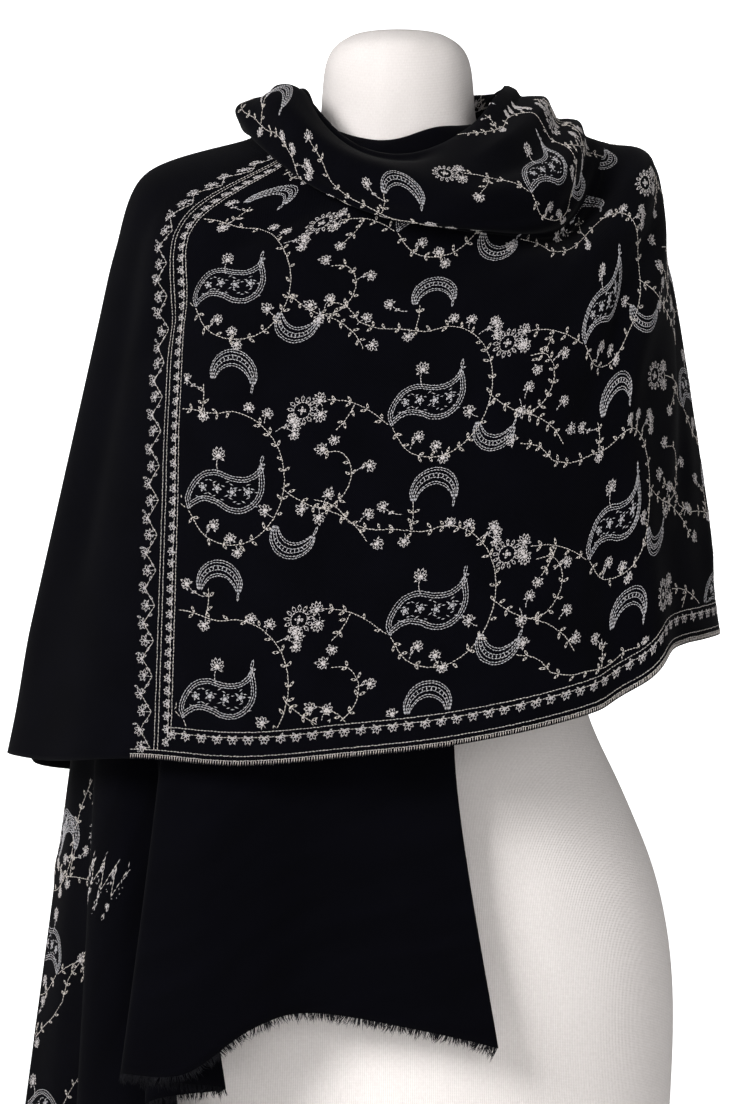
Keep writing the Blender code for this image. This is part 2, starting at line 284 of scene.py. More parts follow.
def woundPoints(angle, row):
    # row runs 0 to 6 down the section's levels and 6 to 7 down the skirt; the half extents of the two
    # nearest quarters give a ring, squared up in plan, and the skirt flares in proportion to its drop
    level, fall = np.minimum(row, wrap["armLevel"]), np.clip(row - wrap["armLevel"], 0, 1)
    stations = [np.array(quarter[1:-1]) for quarter in wrap["quarters"]]
    flares = np.array([quarter[-1] for quarter in wrap["quarters"]])
    quarter = np.clip((angle // 90).astype(int), 0, len(stations) - 2)
    sideways, lengthways = quarter + (quarter % 2 == 0), quarter + (quarter % 2 == 1)
    read = np.stack([splineRows(station, level) for station in stations])
    side = np.take_along_axis(read, sideways[None, ..., None], axis=0)[0]
    front = np.take_along_axis(read, lengthways[None, ..., None], axis=0)[0]
    share = np.sin(np.radians(angle)) ** 2
    height = side[..., 1] * share + front[..., 1] * (1 - share)
    squareness = splineRows(np.array(wrap["squareness"])[:, None], level)[..., 0]
    squareness = squareness + (wrap["skirtSquareness"] - squareness) * fall
    across, deep = side[..., 0], front[..., 0]
    for centre, spread, drop, outward in wrap["sags"]:
        near = bell(angle, centre, spread)
        height = height - drop * near * bell(level, 3.8, 1.3)
        stand = outward * near * bell(level, 2.8, 0.8)
        across, deep = across + stand, deep + stand
    for centre, spread, rise in wrap["lifts"]:
        height = height + rise * bell(angle, centre, spread) * bell(level, 1.0, 0.9)
    drop = (height - readTable(wrap["hem"], angle)) * fall
    push = sum(depth * bell(angle, centre, spread) for centre, spread, depth in wrap["pleats"]) * fall
    across, deep = across + flares[sideways] * drop + push, deep + flares[lengthways] * drop + push
    sine, cosine = np.sin(np.radians(angle)), np.cos(np.radians(angle))
    size = (np.abs(sine) ** squareness + np.abs(cosine) ** squareness) ** (-1 / squareness)
    return np.stack([-across * sine * size, -deep * cosine * size, height - drop], axis=-1)


def evenly(lines, count):
    # each line of points read at evenly spaced distances along it, with its length; a line's
    # columns past the third are carried along
    travelled = distanceAlong(lines[..., :3], 1)
    even = [readLine(np.linspace(0, distance[-1], count), distance, points)
            for distance, points in zip(travelled, lines)]
    return np.stack(even), travelled[:, -1]


def readColumns(values, where):
    # each column of values read at its own row of positions, counted in samples
    where = np.clip(where, 0, values.shape[1] - 1.001)
    low = where.astype(int)
    part = (where - low)[..., None]
    column = np.arange(len(values))[:, None]
    return values[column, low] * (1 - part) + values[column, low + 1] * part


# the whole wound cloth as one fine sheet: a line of points up from the hem for each angle
angles = np.linspace(wrap["start"], wrap["end"], wrap["lines"])
skirtRows = np.linspace(wrap["hemLevel"], wrap["armLevel"], wrap["skirtPoints"])
rowsUp = np.concatenate([skirtRows, np.linspace(wrap["armLevel"], 0, wrap["sectionPoints"])[1:]])
angleGrid, rowGrid = np.meshgrid(angles, rowsUp, indexing="ij")
lines = np.concatenate([woundPoints(angleGrid, rowGrid), rowGrid[..., None]], axis=-1)
lines, sheetLength = evenly(lines, wrap["linePoints"])
sheet = softened(softened(lines[..., :3], wrap["evenUp"], 1), wrap["evenRound"], 0)
sheetRow = lines[..., 3]
sheetUp = np.linspace(0, 1, sheet.shape[1]) * sheetLength[:, None]
samplesPerMetre = (sheet.shape[1] - 1) / sheetLength[:, None]


def upAt(level):
    # how far up from the hem each line of the sheet crosses a level of the section
    return np.array([np.interp(-level, -row, up) for row, up in zip(sheetRow, sheetUp)])


# where the embroidery lies: up is the distance from the hem, and along the distance round the cloth
# from the end border, which climbs the chest, crosses the shoulder and turns towards the neck
pattern = {
    "upStep": 0.002, "upMost": 0.94,
    "borderFoot": -0.151, "borderLean": 0.022, "borderFootHeight": 0.505,
    "borderAfter": 365, "borderEven": 9,
    "fanHeight": 0.365, "fanAngle": 300,
    "alongStep": 0.002, "alongLeast": -0.30, "alongMost": 1.90,
}
upRows = np.arange(0, pattern["upMost"], pattern["upStep"])
rings = readColumns(sheet, upRows[None] * samplesPerMetre)
roundRing = distanceAlong(rings)
borderX = pattern["borderFoot"] + pattern["borderLean"] * (rings[..., 2] - pattern["borderFootHeight"])
crossed = (rings[..., 0] < borderX) & (angles[:, None] > pattern["borderAfter"])
borderAngle = np.where(upRows < pattern["fanHeight"], angles[crossed.argmax(axis=0)], np.nan)
found = ~np.isnan(borderAngle)
borderAngle = np.interp(upRows, upRows[found], borderAngle[found])
window = 2 * pattern["borderEven"] + 1
borderAngle = np.pad(borderAngle, pattern["borderEven"], mode="edge")
borderAngle = np.convolve(borderAngle, np.ones(window) / window, mode="valid")
borderRound = np.array([np.interp(a, angles, ring) for a, ring in zip(borderAngle, roundRing.T)])
alongRing = borderRound - roundRing
fan = int(pattern["fanHeight"] / pattern["upStep"])
front = angles >= pattern["fanAngle"]
stretch = np.diff(alongRing, axis=0, prepend=alongRing[:1])
stretch[front, fan:] = stretch[front, fan:fan + 1]
alongRing = alongRing[-1:] - np.cumsum(stretch[::-1], axis=0)[::-1] + stretch
alongRing[:, fan:] += alongRing[-1, fan] - alongRing[-1:, fan:]
sheetAlong = np.stack([np.interp(up, upRows, along) for up, along in zip(sheetUp, alongRing)])

# creases placed one by one, in metres along and up: start, end, half width, depth (ridges are negative)
creases = [
    (0.395, 0.300, 0.300, 0.210, 0.016, 0.0045), (0.430, 0.335, 0.345, 0.200, 0.014, -0.0035),
    (0.455, 0.300, 0.405, 0.120, 0.013, 0.0045), (0.480, 0.330, 0.440, 0.060, 0.012, -0.0040),
    (0.360, 0.350, 0.255, 0.300, 0.015, 0.0030), (0.300, 0.345, 0.180, 0.320, 0.018, 0.0025),
    (0.060, 0.385, -0.015, 0.300, 0.014, 0.0040), (0.085, 0.345, 0.020, 0.240, 0.018, -0.0020),
    (-0.050, 0.360, -0.090, 0.160, 0.016, 0.0035), (-0.100, 0.330, -0.150, 0.090, 0.020, -0.0040),
    (0.120, 0.060, 0.160, 0.300, 0.045, 0.0020), (0.250, 0.040, 0.235, 0.260, 0.040, -0.0020),
    (0.560, 0.320, 0.590, 0.050, 0.016, 0.0050), (0.640, 0.350, 0.690, 0.080, 0.022, -0.0050),
    (0.760, 0.420, 0.840, 0.120, 0.024, 0.0055), (0.930, 0.500, 0.980, 0.140, 0.026, -0.0060),
    (1.050, 0.560, 1.060, 0.200, 0.024, 0.0060), (1.180, 0.640, 1.150, 0.220, 0.026, -0.0050),
    (0.880, 0.450, 1.020, 0.420, 0.018, 0.0030), (1.090, 0.600, 1.230, 0.480, 0.020, 0.0035),
]
moved = np.zeros(sheet.shape[:2])
for along0, up0, along1, up1, width, depth in creases:
    run = np.array([along1 - along0, up1 - up0])
    reach = np.linalg.norm(run)
    run = run / reach
    ahead = (sheetAlong - along0) * run[0] + (sheetUp - up0) * run[1]
    aside = -(sheetAlong - along0) * run[1] + (sheetUp - up0) * run[0]
    beyond = np.maximum(np.abs(ahead - reach / 2) - reach / 2, 0)
    moved -= depth * np.exp(-(aside / width) ** 2 - (beyond / (2.5 * width)) ** 2)

# plies of the cowl, which run round the neck: start and end as (angle, level), half width, height
plies = [
    (236, 0.55, 318, 0.95, 0.16, 0.0040), (240, 1.15, 326, 1.45, 0.15, -0.0040),
    (244, 1.60, 334, 1.85, 0.15, 0.0042), (246, 2.05, 338, 2.25, 0.16, -0.0040),
    (248, 2.55, 352, 2.55, 0.20, 0.0038), (262, 3.05, 350, 2.95, 0.20, -0.0036),
    (338, 1.30, 412, 0.90, 0.25, -0.0045), (350, 1.90, 440, 1.60, 0.30, 0.0045),
    (344, 2.55, 430, 2.30, 0.25, -0.0040), (420, 1.60, 486, 1.25, 0.30, -0.0045),
    (425, 2.40, 486, 2.10, 0.30, 0.0050), (130, 1.70, 245, 1.50, 0.30, -0.0050),
    (150, 2.50, 250, 2.20, 0.30, 0.0040),
]
for angle0, level0, angle1, level1, width, height in plies:
    part = (angleGrid[:, :1] - angle0) / (angle1 - angle0)
    middle = level0 + (level1 - level0) * part
    ends = np.clip(np.minimum(part, 1 - part) * 5, 0, 1)
    moved += height * ends * bell(sheetRow, middle, width)
normal = -gridNormals(sheet)
# nothing is creased close to where the under panel joins the back
joinReach, joinFrom = 14, 3.5  # degrees and level
still = np.clip(1 - np.abs(angles[:, None] - under["join"]) / joinReach, 0, 1) * (sheetRow > joinFrom)
sheet = softened(sheet + normal * (moved * (1 - still))[..., None], 3, 0)
normal = -gridNormals(sheet)
print("wound cloth laid out, up to", round(float(sheetLength.max()), 3), "m from hem to neck")


def cutFromSheet(name, angle0, angle1, columns, level0, level1, rows):
    # a stretch of the sheet between two angles and between two levels of the section
    wanted = np.linspace(angle0, angle1, columns)
    position = np.interp(wanted, angles, np.arange(len(angles)))
    low = np.minimum(position.astype(int), len(angles) - 2)
    part = (position - low)[:, None, None]
    everything = np.concatenate([sheet, sheetAlong[..., None], sheetUp[..., None]], axis=-1)
    ends = [upAt(level) for level in (level0, level1)]
    heights = ends[0][:, None] + (ends[1] - ends[0])[:, None] * np.linspace(0, 1, rows)
    read = readColumns(everything, heights * samplesPerMetre)
    cut = read[low] * (1 - part) + read[low + 1] * part
    return gridMesh(name, cut[..., :3], cut[..., 3:5])


cloth = {  # name, first and last angle, columns, lower and upper level, rows
    "cowl": ("cowl_cloth", -50, 488, 400, 4, 0, 60),
    "front": ("front_cloth", 255, 488, 250, 7, 4, 116),
    "back": ("back_cloth", 88, 255, 130, 7, 4, 124),
}
cowlCloth = cutFromSheet(*cloth["cowl"])
frontCloth = cutFromSheet(*cloth["front"])
backCloth = cutFromSheet(*cloth["back"])


def skirtAt(angle, height):
    # points of the skirt at a height, or at the hem where that is higher
    arm = np.full(angle.shape, float(wrap["armLevel"]))
    top, hem = woundPoints(angle, arm)[:, 2], readTable(wrap["hem"], angle)
    return woundPoints(angle, arm + np.clip((top - np.maximum(hem, height)) / (top - hem), 0, 1))


table = np.array([fold[1:] for fold in under["folds"]])
join = np.array([under["join"]])
tops = np.append(table[:, 0], join)
guides = [woundPoints(tops, np.full(len(tops), level)) for level in under["topLevels"]]
middle = np.column_stack([table[:, 1], table[:, 2], np.full(len(table), under["middle"])])
middle = np.concatenate([middle, skirtAt(join, under["middle"])])
low = np.concatenate([table[:, 3:6], skirtAt(join, 0)])
foldLines = np.stack([*guides, skirtAt(tops, under["waist"]), middle, low], axis=1)
foldPlaces = np.linspace(0, len(tops) - 1, under["fineColumns"])
across = splineRows(foldLines.reshape(len(tops), -1), foldPlaces).reshape(len(foldPlaces), -1, 3)
rowPlaces = np.linspace(across.shape[1] - 1, 0, under["fineRows"])
panel = np.stack([splineRows(line, rowPlaces) for line in across])
panel = softened(softened(panel, under["evenRound"], 0), under["evenUp"], 1)
panelRound, panelUp = distanceAlong(panel), distanceAlong(panel, 1)
panelAlong = panelRound - panelRound[-1]
panelNormal = -gridNormals(panel)
print("under panel end is", round(float(-panelAlong[0, 0]), 3), "m along the fringe")
columns = np.linspace(0, len(panel) - 1, under["columns"]).round().astype(int)
rows = np.linspace(0, panel.shape[1] - 1, under["rows"]).round().astype(int)
pick = np.ix_(columns, rows)
underCloth = gridMesh("under_cloth", panel[pick], np.stack([panelAlong, panelUp], axis=-1)[pick])

for piece, nodes in (
    (cowlCloth, ["neck_cowl"]),
    (frontCloth, ["front_wrap", "arm_wrap", "shoulder_end"]),
    (backCloth, ["back_wrap"]),
    (underCloth, ["under_panel", "fold_column", "back_column", "side_strip"]),
):
    thicken(piece, wrap["thickness"])
    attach(piece, "root")
    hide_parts(*nodes)

# the form's cover, turned through the rings, closed at the base and at the top of the neck
ringPlace = np.linspace(0, len(form["rings"]) - 1, form["levels"])
levels = splineRows(np.array(form["rings"]), ringPlace)
turn = np.linspace(0, 2 * np.pi, form["sides"], endpoint=False)[:, None]
depth = np.where(np.sin(turn) < 0, levels[:, 2], levels[:, 3])
cover = np.stack([levels[:, 1] * np.cos(turn), depth * np.sin(turn), levels[:, 0] + 0 * turn], axis=-1)
cover = softened(cover, 4, 1)
base = np.concatenate([cover[:, :1] * [[[share, share, 1]]] for share in (0.002, 0.97)], axis=1)
cover = np.concatenate([base, cover], axis=1)
girth = np.linalg.norm(np.diff(cover, axis=0, append=cover[:1]), axis=-1)
roundForm = np.cumsum(girth, axis=0) / girth.sum(axis=0) * girth.sum(axis=0).max()
formCover = gridMesh("form_cover", cover, np.stack([roundForm, cover[..., 2]], axis=-1), closed=True)
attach(formCover, "root")
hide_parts("dress_form")
print("form covered")

# where a point of the embroidery lies on the cloth: places and normals on a fine grid of along and up
fineRings = readColumns(sheet, upRows[None] * samplesPerMetre)
fineNormals = readColumns(normal, upRows[None] * samplesPerMetre)
alongPlaces = np.arange(pattern["alongLeast"], pattern["alongMost"], pattern["alongStep"])
valleyUp = upAt(wrap["valleyLevel"])
seamMargin = 0.004


def spreadOut(places, along, usable, values):
    # each row of values read at even places along the cloth, blank where there is no cloth
    grid = np.full((len(places), along.shape[1], values.shape[2]), np.nan)
    for row in range(along.shape[1]):
        order = np.flatnonzero(usable[:, row])[::-1]
        if len(order) > 8:
            grid[:, row] = readLine(places, along[order, row], values[order, row], np.nan, np.nan)
    return grid


fineValues = np.concatenate([fineRings, fineNormals], axis=-1)
reachable = (upRows[None] < valleyUp[:, None] + seamMargin) & (angles[:, None] > under["join"])
woundField = spreadOut(alongPlaces, alongRing, reachable, fineValues)

# the same for the cowl: up is the distance above the seam under its roll, and along is the distance
# round the roll from the middle of the chest, positive towards +X
cowlField = {"least": -0.26, "most": 0.70, "high": 0.13, "step": 0.002, "anchor": 368,
             "from": 120, "frontFrom": 300, "mapRow": 24, "ends": 0.62}
cowlRows = np.arange(0, cowlField["high"], cowlField["step"])
cowlPlaces = np.arange(cowlField["least"], cowlField["most"], cowlField["step"])
cowlWhere = (valleyUp[:, None] + cowlRows[None]) * samplesPerMetre
cowlRings, cowlNormals = readColumns(sheet, cowlWhere), readColumns(normal, cowlWhere)
cowlRound = distanceAlong(cowlRings)
anchorRound = np.array([np.interp(cowlField["anchor"], angles, ring) for ring in cowlRound.T])
mapRow = cowlField["mapRow"]
cowlAlong = np.repeat((anchorRound - cowlRound)[:, mapRow:mapRow + 1], len(cowlRows), axis=1)
cowlTop = (sheetLength - valleyUp - seamMargin)[:, None]
reachable = (cowlRows[None] < cowlTop) & (angles[:, None] > cowlField["from"])
onCowl = spreadOut(cowlPlaces, cowlAlong, reachable, np.concatenate([cowlRings, cowlNormals], axis=-1))


def seenAt(points, maps, x, z):
    # the map value of the foremost of the points that lie near x and z in the front view
    near = np.hypot(points[..., 0] - x, points[..., 2] - z)
    depth = np.where(near < max(near.min() * 1.5, 0.004), points[..., 1], np.inf)
    return maps[np.unravel_index(depth.argmin(), depth.shape)]


def leafPath(foot, heading, length, width):
    # a small pointed loop: foot, side, tip, side, foot
    ahead = length * np.array([np.cos(heading), np.sin(heading)])
    aside = width / 2 * np.array([-np.sin(heading), np.cos(heading)])
    foot = np.array(foot, float)
    return np.stack([foot, foot + 0.5 * ahead + aside, foot + ahead, foot + 0.5 * ahead - aside, foot])


def blossom(foot, heading, size, petals=5):
    # petals fanned round the heading, with two sepals low at the sides
    paths = []
    for turn in np.linspace(-1.25, 1.25, petals):
        reach = size * (1 - 0.16 * abs(turn))
        paths.append(leafPath(foot, heading + turn, reach, 0.42 * size))
    return paths + [leafPath(foot, heading + turn, 0.7 * size, 0.2 * size) for turn in (-2.1, 2.1)]


def inset(path, distance):
    # a closed path moved inwards
    step = np.gradient(path, axis=0)
    inward = unit(np.stack([-step[:, 1], step[:, 0]], axis=-1))
    turning = np.sum(path[:-1, 0] * path[1:, 1] - path[1:, 0] * path[:-1, 1])
    return path + inward * distance * np.sign(turning)


def paisley(length, height):
    # a full leaf with its point low at the left, its back humped and its tip curled up at the right
    shape = [(0, 0), (-0.05, 0.22), (0.02, 0.50), (0.17, 0.74), (0.38, 0.82), (0.60, 0.74), (0.80, 0.74),
             (0.95, 0.87), (1.0, 1.0), (1.05, 0.76), (1.05, 0.45), (0.95, 0.18), (0.77, 0.03), (0.57, 0.04),
             (0.40, 0.16), (0.22, 0.20), (0.08, 0.10), (0, 0)]
    outline = smoothPath(np.array(shape) * (length, height), 90)
    paths = [outline, inset(outline, 0.0016), inset(outline, 0.0030)[4:-4]]
    stars = ((0.20, 0.46, 0.0030), (0.40, 0.47, 0.0034), (0.62, 0.42, 0.0033), (0.84, 0.45, 0.0034))
    for share, lift, size in stars:
        middle = np.array([share * length, lift * height])
        paths += [leafPath(middle, turn + share * 9, size, 0.0013) for turn in np.arange(5) * 1.2566]
    for share in np.linspace(0.10, 0.94, 15):
        for lift in (0.33, 0.60):
            wavy = lift - 0.10 * share + 0.06 * np.cos(share * 23)
            middle = np.array([share * length, wavy * height])
            paths.append(np.stack([middle, middle + (0.0024, 0.0012 * np.sin(share * 40))]))
    paths.append(leafPath((length, height), 1.35, 0.0070, 0.0022))
    paths.append(leafPath((length, height), 0.1, 0.0032, 0.0014))
    return paths


def crescent(length, plump, swing):
    # a curled leaf arching from its foot: rows follow the arch and short rungs cross them
    turn = np.linspace(np.pi, np.pi - swing, 30)
    share = np.linspace(0, 1, 30)
    radius = length / 2
    arch = np.stack([radius + radius * np.cos(turn), radius * 1.05 * np.sin(turn)], axis=-1)
    outwards = np.stack([np.cos(turn), np.sin(turn)], axis=-1)
    half = plump / 2 * np.sin(np.pi * np.clip(share * 0.94 + 0.03, 0, 1)) ** 0.6
    paths = [arch + outwards * (half * side)[:, None] for side in (-1, -0.72, -0.2, 0.3, 0.72, 1)]
    for at in range(2, 28, 2):
        rung = outwards[at] * half[at]
        paths.append(np.stack([arch[at] - rung * 0.2, arch[at] + rung * 0.3]))
    end = arch[-1]
    heading = np.pi - swing - np.pi / 2
    paths.append(leafPath(end, heading, 0.0062, 0.0018))
    return paths


def rosette(middle, ring, petal):
    # petals round a ring, with a few short ones inside it
    middle = np.array(middle, float)
    turns = np.arange(13) * 2 * np.pi / 13
    paths = [leafPath(middle + ring * np.array([np.cos(t), np.sin(t)]), t, petal, 0.0024) for t in turns]
    circle = np.linspace(0, 6.28, 16)
    paths.append(middle + ring * np.stack([np.cos(circle), np.sin(circle)], axis=-1))
    return paths + [leafPath(middle, t, 0.0030, 0.0012) for t in turns[::3]]


def turned(paths, angle, to, scale=1.0, mirror=False):
    # the paths scaled, mirrored if asked, turned about their origin and moved
    spin = np.array([[np.cos(angle), np.sin(angle)], [-np.sin(angle), np.cos(angle)]])
    flip = np.array([1, -1 if mirror else 1])
    return [(path * scale * flip) @ spin + to for path in paths]


def leafyVine(points, pitch=0.0095, count=60):
    # a stem with pairs of small leaves set unevenly along it
    path = smoothPath(points, count)
    travelled = distanceAlong(path)
    paths = [path]
    at = 0.5 * pitch
    while at < travelled[-1] - 0.3 * pitch:
        foot = readLine(at, travelled, path)
        ahead = readLine(at + 0.001, travelled, path) - foot
        heading = np.arctan2(ahead[1], ahead[0])
        for side in (1, -1):
            if rng.random() < 0.82:
                away = heading + side * rng.uniform(0.6, 1.15)
                apart = rng.uniform(0, 0.0012) * np.array([np.cos(away), np.sin(away)])
                paths.append(leafPath(foot + apart, away, rng.uniform(0.0034, 0.0050), 0.0016))
        at += pitch * rng.uniform(0.75, 1.3)
    return paths


def sprig(foot, heading, length, size, petals=5, leaves=True):
    # a short bent stem with a blossom at its end
    foot = np.array(foot, float)
    ahead = np.array([np.cos(heading), np.sin(heading)])
    aside = np.array([-ahead[1], ahead[0]])
    end = foot + ahead * length
    paths = [smoothPath([foot, foot + ahead * length * 0.5 + aside * length * 0.12, end], 8)]
    if leaves and length > 0.008:
        paths.append(leafPath(foot + ahead * length * 0.45, heading + 0.9, 0.004, 0.0014))
    return paths + blossom(end, heading, size, petals)


# one repeat of the field, in metres from its paisley's point
cell = {
    "vines": [  # points of the stem, leaf pitch, points read along it
        ([(0.067, 0.014), (0.079, 0.004), (0.092, -0.003), (0.104, -0.001), (0.113, 0.010),
          (0.114, 0.023), (0.107, 0.033), (0.096, 0.034)], 0.0095, 60),
        ([(0.092, -0.003), (0.104, -0.009), (0.116, -0.019), (0.124, -0.031)], 0.0095, 60),
        ([(-0.002, 0.001), (-0.016, 0.012), (-0.030, 0.019), (-0.045, 0.022)], 0.011, 60),
        ([(-0.026, 0.017), (-0.031, 0.008), (-0.038, 0.000)], 0.008, 20),
        ([(-0.028, 0.076), (-0.038, 0.088), (-0.052, 0.094)], 0.009, 20),
        ([(0.012, 0.0675), (0.0135, 0.077), (0.013, 0.086)], 0.008, 16),
    ],
    "sprigs": [  # foot, heading, stem, blossom, and where they differ the petals and the stem's leaf
        ((0.022, 0.024), 1.5, 0.011, 0.0068, 6, False),
        ((0.013, 0.080), 2.6, 0.014, 0.0058), ((0.012, -0.018), 0.9, 0.009, 0.0058),
        ((0.030, -0.0235), 1.7, 0.004, 0.0055), ((0.033, -0.0235), -1.4, 0.004, 0.0052),
        ((0.059, -0.006), 2.4, 0.007, 0.0062), ((0.055, 0.057), 1.2, 0.006, 0.0055),
        ((0.062, 0.051), 0.15, 0.013, 0.0058), ((0.070, 0.052), 0.95, 0.006, 0.0055),
        ((0.070, 0.052), -0.8, 0.006, 0.0052), ((0.014, 0.067), -1.7, 0.005, 0.0055),
        ((0.044, 0.064), 1.3, 0.003, 0.0052), ((0.092, -0.003), 1.1, 0.007, 0.0058),
        ((0.088, -0.002), -1.5, 0.008, 0.0060), ((0.114, 0.016), 0.2, 0.009, 0.0056),
        ((0.096, 0.034), 3.0, 0.003, 0.0062), ((0.124, -0.031), -0.9, 0.003, 0.0062),
        ((0.115, -0.018), 0.6, 0.007, 0.0056), ((-0.038, 0.000), -2.0, 0.002, 0.0055),
        ((-0.052, 0.094), 2.4, 0.002, 0.0062), ((-0.046, 0.022), 1.9, 0.004, 0.0066, 6, False),
        ((-0.046, 0.021), -1.9, 0.004, 0.0066, 6, False),
    ],
    "paisley": (0.048, 0.033),  # length and height
    "loop": ((0.031, 0.022), (0.038, 0.0455)),  # middle and radii of the stem round the paisley
    "loopEnd": [(0.001, 0.0690), (-0.014, 0.0705), (-0.028, 0.0760)],
    "risingFoot": (0.0135, 0.086), "hangingFoot": (0.0600, -0.0065),
    "shades": (0.85, 0.55, 0.25),  # of the stems, the flowers and the leaves
}


def fieldCell():
    # one repeat about a paisley's point, as (paths, shade) for its stems, flowers and leaves
    (middleX, middleY), (radiusX, radiusY) = cell["loop"]
    loop = np.linspace(3.75, 8.15, 12)
    ring = np.stack([middleX + radiusX * np.cos(loop), middleY + radiusY * np.sin(loop)], axis=-1)
    ring[0] = (0.0005, -0.0008)
    stems = leafyVine(np.concatenate([ring, cell["loopEnd"]]), 0.0105, 110)
    for vine in cell["vines"]:
        stems += leafyVine(*vine)
    flowers = []
    for row in cell["sprigs"]:
        flowers += sprig(*row)
    flowers += rosette((-0.060, 0.0215), 0.0058, 0.0046)
    leaves = paisley(*cell["paisley"])
    leaves += turned(crescent(0.027, 0.0105, 3.3), 0.05, cell["risingFoot"])
    leaves += turned(crescent(0.026, 0.0105, 3.0), -0.25, cell["hangingFoot"], 1.0, True)
    return list(zip((stems, flowers, leaves), cell["shades"]))


def stitchesOf(paths, shade, length=0.0023):
    # straight stitches end to end along each path: both ends and a shade
    found = []
    for path in paths:
        travelled = distanceAlong(path)
        if travelled[-1] < 1e-5:
            continue
        count = max(int(round(travelled[-1] / length)), 1 if len(path) < 5 else 4)
        marks = np.linspace(0, travelled[-1], count + 1)
        points = readLine(marks, travelled, path)
        found.append(np.concatenate([points[:-1], points[1:], np.full((count, 1), shade)], axis=1))
    return np.concatenate(found)


stitch = {
    "width": 0.00085, "height": 0.00042, "fineWidth": 0.00075, "fineHeight": 0.00038,
    "clear": 0.00045,  # above the middle of the cloth's wall
    "wander": 0.00013, "shortest": 0.0004, "longest": 0.0045,
    "overrun": 0.20,  # of its length past each end
    "shadeWander": 0.09,
}


def sewn(name, stitches, field, least, step, width=stitch["width"], height=stitch["height"]):
    # each stitch is a closed lozenge on the cloth: two ends, two sides and a raised middle
    def read(points):
        place = (points - least) / step
        low = np.clip(np.floor(place).astype(int), 0, np.array(field.shape[:2]) - 2)
        part = np.clip(place - low, 0, 1)
        inside = ((place >= 0) & (place <= np.array(field.shape[:2]) - 1)).all(axis=-1)
        x, y = part[:, :1], part[:, 1:]
        i, j = low[:, 0], low[:, 1]
        value = (field[i, j] * (1 - x) * (1 - y) + field[i + 1, j] * x * (1 - y)
                 + field[i, j + 1] * (1 - x) * y + field[i + 1, j + 1] * x * y)
        value[~inside] = np.nan
        return value

    stitches = stitches.copy()
    stitches[:, :4] += rng.normal(0, stitch["wander"], (len(stitches), 4))
    ends = [read(stitches[:, :2]), read(stitches[:, 2:4])]
    middle = read((stitches[:, :2] + stitches[:, 2:4]) / 2)
    run = ends[1][:, :3] - ends[0][:, :3]
    size = np.linalg.norm(run, axis=1)
    kept = np.isfinite(middle).all(axis=1) & np.isfinite(run).all(axis=1)
    kept &= (size > stitch["shortest"]) & (size < stitch["longest"])
    first, last, middle, run = (part[kept] for part in (ends[0], ends[1], middle, run))
    out = unit(middle[:, 3:])
    side = unit(np.cross(out, run)) * width / 2 * rng.uniform(0.8, 1.15, (kept.sum(), 1))
    base = out * stitch["clear"]
    reach = stitch["overrun"] * run
    corners = np.stack([first[:, :3] + base - reach, last[:, :3] + base + reach, middle[:, :3] + base + side,
                        middle[:, :3] + base - side, middle[:, :3] + base + out * height], axis=1)
    faces = np.array([(0, 3, 4), (3, 1, 4), (1, 2, 4), (2, 0, 4), (0, 2, 1), (0, 1, 3)])
    mesh = bpy.data.meshes.new(name)
    firstCorner = 5 * np.arange(len(corners))[:, None, None]
    mesh.from_pydata(corners.reshape(-1, 3), [], (faces[None] + firstCorner).reshape(-1, 3))
    uneven = rng.normal(0, stitch["shadeWander"], kept.sum())
    shades = np.repeat(np.clip(stitches[kept, 4] + uneven, 0, 1), 5)
    mesh.attributes.new("shade", "FLOAT", "POINT").data.foreach_set("value", shades.astype(np.float32))
    piece = pieceOf(name, mesh)
    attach(piece, "root")
    print(name, "has", len(corners), "stitches")
    return piece


# the field: repeats of the cell, each column started at its own height above the hem
field = {
    "columnPitch": 0.139, "rowPitch": 0.140, "first": 0.008, "columns": 14, "rows": 7,
    "clearOfEnd": 0.0025, "clearOfHem": 0.0245, "tilt": 0.035,
    "starts": [0.029, 0.078, 0.100, 0.018, 0.090, 0.030, 0.100],
}
layout = []
for column in range(-1, field["columns"]):
    start = field["starts"][column % len(field["starts"])]
    for row in range(-1, field["rows"]):
        layout.append((field["first"] + field["columnPitch"] * column, start + field["rowPitch"] * row))
fieldStitches = []
for along, up in layout:
    for paths, shade in fieldCell():
        tilt, scale = rng.normal(0, field["tilt"]), rng.uniform(0.97, 1.04)
        fieldStitches.append(stitchesOf(turned(paths, tilt, (along, up), scale), shade))
fieldStitches = np.concatenate(fieldStitches)
middles = (fieldStitches[:, :2] + fieldStitches[:, 2:4]) / 2
inField = (middles[:, 0] > field["clearOfEnd"]) & (middles[:, 1] > field["clearOfHem"])
fieldStitches = fieldStitches[inField]


def straight(start, end):
    # a straight line as 300 points
    return np.linspace(start, end, 300)


def zigzagLine(corners):
    # straight runs from corner to corner
    return np.concatenate([np.linspace(a, b, 6)[:-1] for a, b in zip(corners, corners[1:])])


